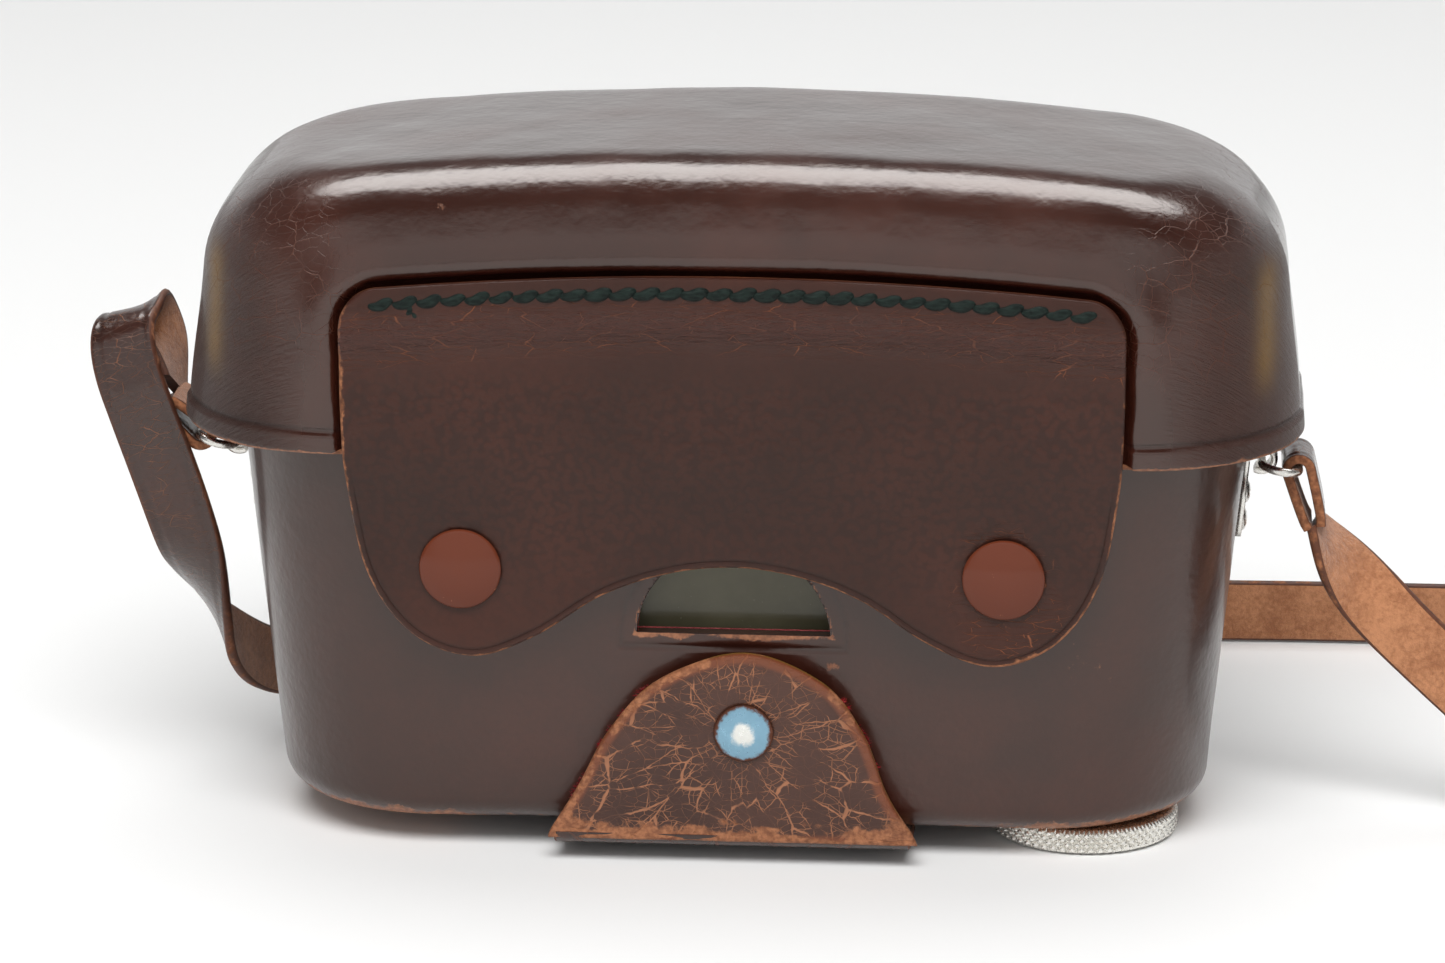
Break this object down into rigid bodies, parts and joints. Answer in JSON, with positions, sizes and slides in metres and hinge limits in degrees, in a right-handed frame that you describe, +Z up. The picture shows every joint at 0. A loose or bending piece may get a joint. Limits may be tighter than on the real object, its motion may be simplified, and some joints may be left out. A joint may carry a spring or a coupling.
{
  "type": "half frame camera",
  "caption": "Half frame camera buttoned in its moulded leather ever-ready carrying cover, with hinged hood, snap flap, tongue, rings and neck strap.",
  "frame": {"origin": "on the surface it stands on, under the middle of the cover", "axes": "+Z up, +X to the right as seen from the front, the front faces -Y"},
  "size_m": [0.2606, 0.0966, 0.0825],
  "materials": {
    "brown_leather": "glossy moulded leather, worn to tan at the edges",
    "tab_leather": "glazed leather with a net of fine cracks",
    "strap_leather": "grain side dark, suede side tan",
    "red_velvet": "short pile velvet",
    "waxed_thread": "waxed thread",
    "brown_enamel": "glossy enamel",
    "worn_nickel": "worn nickel plate",
    "nickel": "satin nickel plate",
    "knurled_nickel": "satin plate, diamond knurl",
    "cast_aluminium": "die cast, matt",
    "satin_chrome": "satin chrome",
    "black_leatherette": "pebbled covering",
    "black_paint": "matt black",
    "bright_steel": "turned",
    "brass": "turned",
    "front_glass": "tinted grey green, flat",
    "clear_glass": "polished",
    "meter_cell": "ribbed light cell",
    "white_dial": "white with black graduations",
    "black_plastic": "moulded"
  },
  "bodies": {
    "case": {"case_bottom": "brown_leather", "case_lining": "red_velvet", "case_snap_studs": "nickel", "tongue": "brown_leather", "screw_washer": "brass", "side_lugs": "nickel", "lug_rivets": "nickel", "strap_ends": "strap_leather", "strap": "strap_leather", "strap_coil": "strap_leather", "chassis": "cast_aluminium", "front_shell": "satin_chrome", "leatherette": "black_leatherette", "back_cover": "satin_chrome", "back_hinge_pin": "bright_steel", "back_latch": "bright_steel", "pressure_plate": "black_paint", "pressure_spring": "bright_steel", "base_plate": "satin_chrome", "tripod_bush": "brass", "base_screws": "nickel", "top_cover": "satin_chrome", "cover_windows": "clear_glass", "finder_tube": "black_paint", "accessory_shoe": "bright_steel", "release_spring": "bright_steel", "lens_barrel": "satin_chrome", "front_glass": "front_glass", "meter_cell": "meter_cell", "lens_cell": "black_paint", "lens_elements": "clear_glass", "shutter_plate": "black_paint"},
    "hood": {"hood": "brown_leather", "hood_lining": "red_velvet", "hood_hinge_strip": "brown_leather"},
    "flap": {"front_flap": "brown_leather", "flap_lining": "red_velvet", "flap_stitches": "waxed_thread", "flap_snap_caps": "brown_enamel", "flap_snap_sockets": "nickel"},
    "tab": {"front_tab": "tab_leather", "tab_lining": "red_velvet", "tab_snap_cap": "worn_nickel", "tab_snap_socket": "nickel"},
    "screw": {"case_screw": "knurled_nickel"},
    "left_ring": {"ring_left": "nickel"},
    "right_ring": {"ring_right": "nickel"},
    "release": {"release_button": "satin_chrome"},
    "advance": {"thumb_wheel": "black_plastic", "wheel_gear": "brass", "take_up_spool": "black_plastic"},
    "film_sprocket": {"sprocket": "bright_steel", "sprocket_gear": "brass"},
    "counter": {"counter_dial": "white_dial"},
    "rewind": {"rewind_knob": "satin_chrome", "rewind_shaft": "bright_steel"},
    "focus": {"focus_ring": "satin_chrome"},
    "aperture": {"aperture_ring": "satin_chrome"},
    "left_blade": {"shutter_blade_left": "black_paint"},
    "right_blade": {"shutter_blade_right": "black_paint"}
  },
  "joints": [
    {"name": "hood_hinge", "type": "hinge", "parent": "case", "child": "hood", "pos_m": [0, 0.0291, 0.0485], "axis": [-1, 0, 0], "range_deg": [0, 150]},
    {"name": "flap_hinge", "type": "hinge", "parent": "hood", "child": "flap", "pos_m": [0, -0.02875, 0.06925], "axis": [-1, 0, 0], "range_deg": [0, 110]},
    {"name": "tab_hinge", "type": "hinge", "parent": "case", "child": "tab", "pos_m": [0, -0.0269, 0.004], "axis": [1, 0, 0], "range_deg": [0, 90]},
    {"name": "case_screw_turn", "type": "hinge", "parent": "case", "child": "screw", "pos_m": [0.0404, -0.0095, 0.004], "axis": [0, 0, 1], "continuous": true},
    {"name": "left_ring_swing", "type": "hinge", "parent": "case", "child": "left_ring", "pos_m": [-0.06047, 0, 0.043], "axis": [0, 1, 0], "range_deg": [-20, 20], "deforming": ["strap", "strap_ends"]},
    {"name": "right_ring_swing", "type": "hinge", "parent": "case", "child": "right_ring", "pos_m": [0.06047, 0, 0.043], "axis": [0, 1, 0], "range_deg": [-20, 20], "deforming": ["strap", "strap_ends"]},
    {"name": "shutter_release", "type": "slide", "parent": "case", "child": "release", "axis": [0, 0, -1], "range_m": [0, 0.0012], "stiffness_N_per_m": 400, "springref_m": -0.0008, "deforming": ["release_spring"]},
    {"name": "film_advance", "type": "hinge", "parent": "case", "child": "advance", "pos_m": [-0.0345, 0.005, 0.06], "axis": [0, 0, 1], "continuous": true},
    {"name": "sprocket_turn", "type": "hinge", "parent": "case", "child": "film_sprocket", "pos_m": [-0.0175, 0.005, 0.06], "axis": [0, 0, 1], "continuous": true},
    {"name": "counter_turn", "type": "hinge", "parent": "case", "child": "counter", "pos_m": [-0.014, -0.003, 0.07], "axis": [0, 0, 1], "continuous": true},
    {"name": "rewind_turn", "type": "hinge", "parent": "case", "child": "rewind", "pos_m": [0.035, 0.002, 0.072], "axis": [0, 0, 1], "continuous": true},
    {"name": "focus_turn", "type": "hinge", "parent": "case", "child": "focus", "pos_m": [0, -0.019, 0.0422], "axis": [0, 1, 0], "range_deg": [-60, 60]},
    {"name": "aperture_turn", "type": "hinge", "parent": "case", "child": "aperture", "pos_m": [0, -0.0175, 0.0422], "axis": [0, 1, 0], "range_deg": [-50, 40]},
    {"name": "right_blade_swing", "type": "hinge", "parent": "case", "child": "right_blade", "pos_m": [0.0042, -0.0129, 0.0392], "axis": [0, 1, 0], "range_deg": [0, 40]},
    {"name": "left_blade_swing", "type": "hinge", "parent": "case", "child": "left_blade", "pos_m": [-0.0042, -0.0125, 0.0392], "axis": [0, -1, 0], "range_deg": [0, 40]}
  ],
  "couplings": [
    {"joint": "sprocket_turn", "follows": "film_advance", "ratio": -1.4286},
    {"joint": "counter_turn", "follows": "film_advance", "ratio": 0.039683},
    {"joint": "left_blade_swing", "follows": "right_blade_swing", "ratio": 1}
  ]
}
